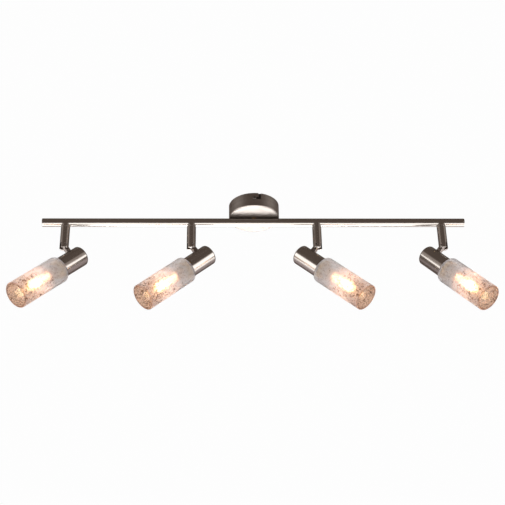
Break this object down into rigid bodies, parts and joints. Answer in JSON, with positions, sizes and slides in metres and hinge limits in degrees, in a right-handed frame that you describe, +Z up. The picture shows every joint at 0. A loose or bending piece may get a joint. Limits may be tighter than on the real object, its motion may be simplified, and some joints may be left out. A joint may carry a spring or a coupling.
{
  "type": "ceiling spotlight bar",
  "caption": "Ceiling light: a straight round bar under a round canopy, with swivelling and tilting lamp heads that hold tubular patterned glass shades.",
  "frame": {"origin": "centre of the ceiling bracket's top face, on the ceiling plane, midway between its two screw slots", "axes": "+X along the bar, +Z up into the ceiling, -Y towards the side with the visible lock slot"},
  "size_m": [0.8865, 0.1175, 0.2385],
  "materials": {
    "satin_nickel": "satin nickel plate, fine brushed grain",
    "end_plug": "satin nickel plate",
    "cast_nickel": "tumbled nickel plate on zinc casting",
    "zinc_steel": "bright zinc plate",
    "screw_steel": "nickel-plated screw steel",
    "brass": "turned brass",
    "white_nylon": "moulded nylon",
    "silicone_lead": "heat-proof silicone sleeve",
    "earth_sleeve": "green and yellow sleeve",
    "steatite": "fired steatite",
    "ice_glass": "frosted glass with an irregular etched ice pattern",
    "lamp_envelope": "frosted capsule, lit"
  },
  "bodies": {
    "fixture": {"ceiling_bracket": "zinc_steel", "cover_screws": "screw_steel", "earth_screw": "screw_steel", "terminal_block": "white_nylon", "terminal_clamps": "brass", "terminal_screws": "screw_steel", "canopy_cover": "satin_nickel", "canopy_nipple": "brass", "canopy_locknut": "zinc_steel", "lock_washer": "zinc_steel", "bar_tube": "satin_nickel", "bar_end_plugs": "end_plug", "stem_saddles": "satin_nickel", "swivel_washers": "white_nylon", "bar_leads": "silicone_lead", "earth_lead": "earth_sleeve"},
    "stem_1": {"stem_1": "satin_nickel", "swivel_stud_1": "brass", "pivot_screws_1": "screw_steel"},
    "head_1": {"tongue_1": "cast_nickel", "cup_1": "satin_nickel", "shade_sleeve_1": "zinc_steel", "glass_shade_1": "ice_glass", "shade_ring_1": "brass", "lampholder_1": "steatite", "lamp_1": "lamp_envelope", "head_lead_1": "silicone_lead"},
    "stem_2": {"stem_2": "satin_nickel", "swivel_stud_2": "brass", "pivot_screws_2": "screw_steel"},
    "head_2": {"tongue_2": "cast_nickel", "cup_2": "satin_nickel", "shade_sleeve_2": "zinc_steel", "glass_shade_2": "ice_glass", "shade_ring_2": "brass", "lampholder_2": "steatite", "lamp_2": "lamp_envelope", "head_lead_2": "silicone_lead"},
    "stem_3": {"stem_3": "satin_nickel", "swivel_stud_3": "brass", "pivot_screws_3": "screw_steel"},
    "head_3": {"tongue_3": "cast_nickel", "cup_3": "satin_nickel", "shade_sleeve_3": "zinc_steel", "glass_shade_3": "ice_glass", "shade_ring_3": "brass", "lampholder_3": "steatite", "lamp_3": "lamp_envelope", "head_lead_3": "silicone_lead"},
    "stem_4": {"stem_4": "satin_nickel", "swivel_stud_4": "brass", "pivot_screws_4": "screw_steel"},
    "head_4": {"tongue_4": "cast_nickel", "cup_4": "satin_nickel", "shade_sleeve_4": "zinc_steel", "glass_shade_4": "ice_glass", "shade_ring_4": "brass", "lampholder_4": "steatite", "lamp_4": "lamp_envelope", "head_lead_4": "silicone_lead"}
  },
  "joints": [
    {"name": "swivel_1", "type": "hinge", "parent": "fixture", "child": "stem_1", "pos_m": [-0.3555, 0, -0.0475], "axis": [0, 0, 1], "range_deg": [-116.5, 233.5]},
    {"name": "tilt_1", "type": "hinge", "parent": "stem_1", "child": "head_1", "pos_m": [-0.3555, 0, -0.0877], "axis": [0.5225, -0.8526, 0], "range_deg": [-44.5, 45.5]},
    {"name": "swivel_2", "type": "hinge", "parent": "fixture", "child": "stem_2", "pos_m": [-0.1185, 0, -0.0475], "axis": [0, 0, 1], "range_deg": [-104, 246]},
    {"name": "tilt_2", "type": "hinge", "parent": "stem_2", "child": "head_2", "pos_m": [-0.1185, 0, -0.0877], "axis": [0.3256, -0.9455, 0], "range_deg": [-42.4, 47.6]},
    {"name": "swivel_3", "type": "hinge", "parent": "fixture", "child": "stem_3", "pos_m": [0.1185, 0, -0.0475], "axis": [0, 0, 1], "range_deg": [-243.5, 106.5]},
    {"name": "tilt_3", "type": "hinge", "parent": "stem_3", "child": "head_3", "pos_m": [0.1185, 0, -0.0877], "axis": [0.3665, 0.9304, 0], "range_deg": [-43.8, 46.2]},
    {"name": "swivel_4", "type": "hinge", "parent": "fixture", "child": "stem_4", "pos_m": [0.3555, 0, -0.0475], "axis": [0, 0, 1], "range_deg": [-231, 119]},
    {"name": "tilt_4", "type": "hinge", "parent": "stem_4", "child": "head_4", "pos_m": [0.3555, 0, -0.0877], "axis": [0.5592, 0.829, 0], "range_deg": [-48.6, 41.4]}
  ]
}
